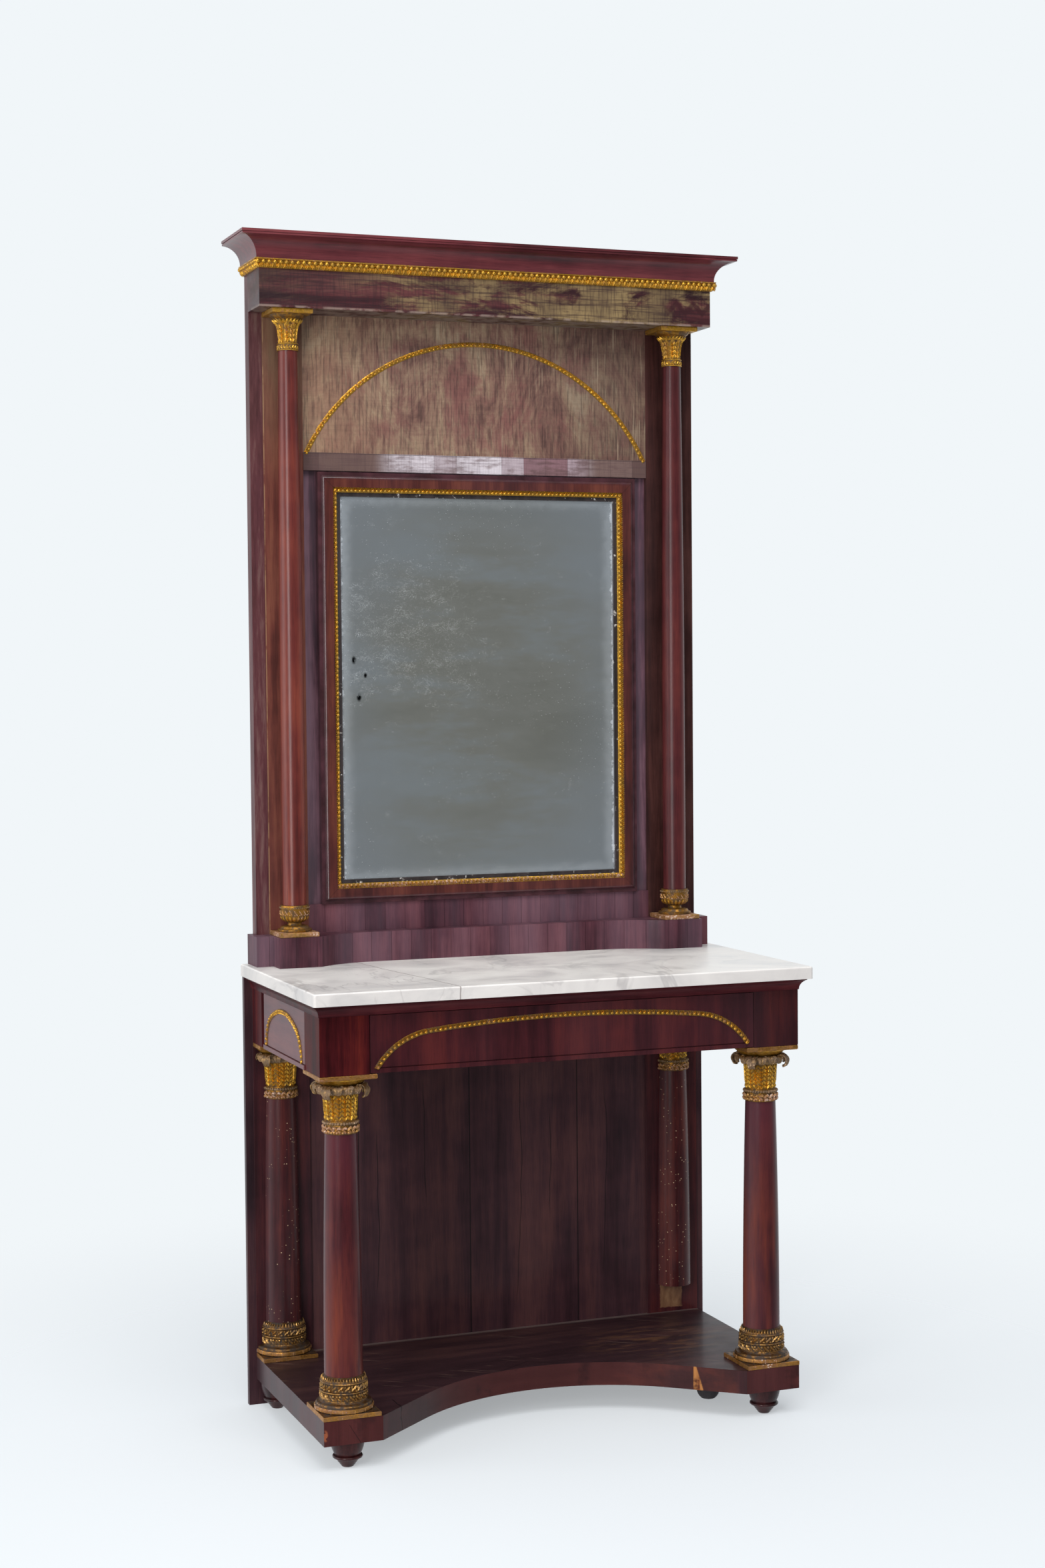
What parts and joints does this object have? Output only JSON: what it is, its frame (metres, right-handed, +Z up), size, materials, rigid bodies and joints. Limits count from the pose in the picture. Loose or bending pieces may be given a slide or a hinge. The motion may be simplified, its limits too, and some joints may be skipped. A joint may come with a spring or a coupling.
{
  "type": "pier table with mirror",
  "caption": "Marble-topped console on turned columns with a curved platform and a hidden frieze drawer, carrying a tall arched pier glass.",
  "frame": {"origin": "on the floor, under the middle of the bounding box", "axes": "+X to the right seen from the front, +Y to the wall behind, +Z up"},
  "size_m": [1.143, 0.568, 2.525],
  "materials": {
    "mahogany": "french-polished mahogany veneer, worn",
    "faded_mahogany": "sun-bleached mahogany veneer",
    "column_veneer": "french-polished figured mahogany",
    "back_boards": "aged softwood boards, stained inside",
    "drawer_wood": "bare softwood",
    "gilt_wood": "water gilding over gesso, rubbed",
    "gilt_moulding": "bright gold leaf",
    "bronzed_wood": "bronzed and gilt gesso, cracked",
    "dark_wood": "ebonised turned wood",
    "marble": "polished white veined marble",
    "mirror": "old silvered glass, foxed"
  },
  "bodies": {
    "console": {"back_board": "back_boards", "base_front_left": "bronzed_wood", "base_front_right": "bronzed_wood", "base_rear_left": "bronzed_wood", "bottom_rail": "mahogany", "bun_feet": "dark_wood", "capital_front_left": "gilt_wood", "capital_front_right": "gilt_wood", "capital_rear_left": "gilt_wood", "capital_rear_right": "gilt_wood", "column_front_left": "column_veneer", "column_front_right": "column_veneer", "corner_post_left": "mahogany", "corner_post_right": "mahogany", "cornice": "mahogany", "drawer_runners": "drawer_wood", "foot_front_left": "dark_wood", "foot_front_right": "dark_wood", "foot_rear_left": "dark_wood", "foot_rear_right": "dark_wood", "frieze_box": "faded_mahogany", "half_column_left": "column_veneer", "half_column_right": "column_veneer", "leaf_moulding": "gilt_moulding", "marble_top": "marble", "mirror_backing": "back_boards", "mirror_base": "mahogany", "mirror_frame": "mahogany", "mirror_glass": "mirror", "mirror_slip": "dark_wood", "pilaster_left": "mahogany", "pilaster_right": "mahogany", "platform": "mahogany", "rear_post_left": "mahogany", "rear_post_right": "mahogany", "side_arch_left": "gilt_moulding", "side_arch_right": "gilt_moulding", "side_rail_left": "mahogany", "side_rail_right": "mahogany", "sight_edge": "gilt_moulding", "slender_base_left": "bronzed_wood", "slender_base_right": "bronzed_wood", "slender_capital_left": "gilt_wood", "slender_capital_right": "gilt_wood", "slender_column_left": "column_veneer", "slender_column_right": "column_veneer", "stile_left": "mahogany", "stile_right": "mahogany", "top_moulding": "mahogany", "top_rail": "drawer_wood", "tympanum_arch": "gilt_moulding", "tympanum_panel": "faded_mahogany"},
    "drawer": {"drawer_front": "mahogany", "drawer_arch": "gilt_moulding", "drawer_side_left": "drawer_wood", "drawer_side_right": "drawer_wood", "drawer_back": "drawer_wood", "drawer_bottom": "drawer_wood"}
  },
  "joints": [
    {"name": "drawer_slide", "type": "slide", "parent": "console", "child": "drawer", "axis": [0, -1, 0], "range_m": [0, 0.27]}
  ]
}
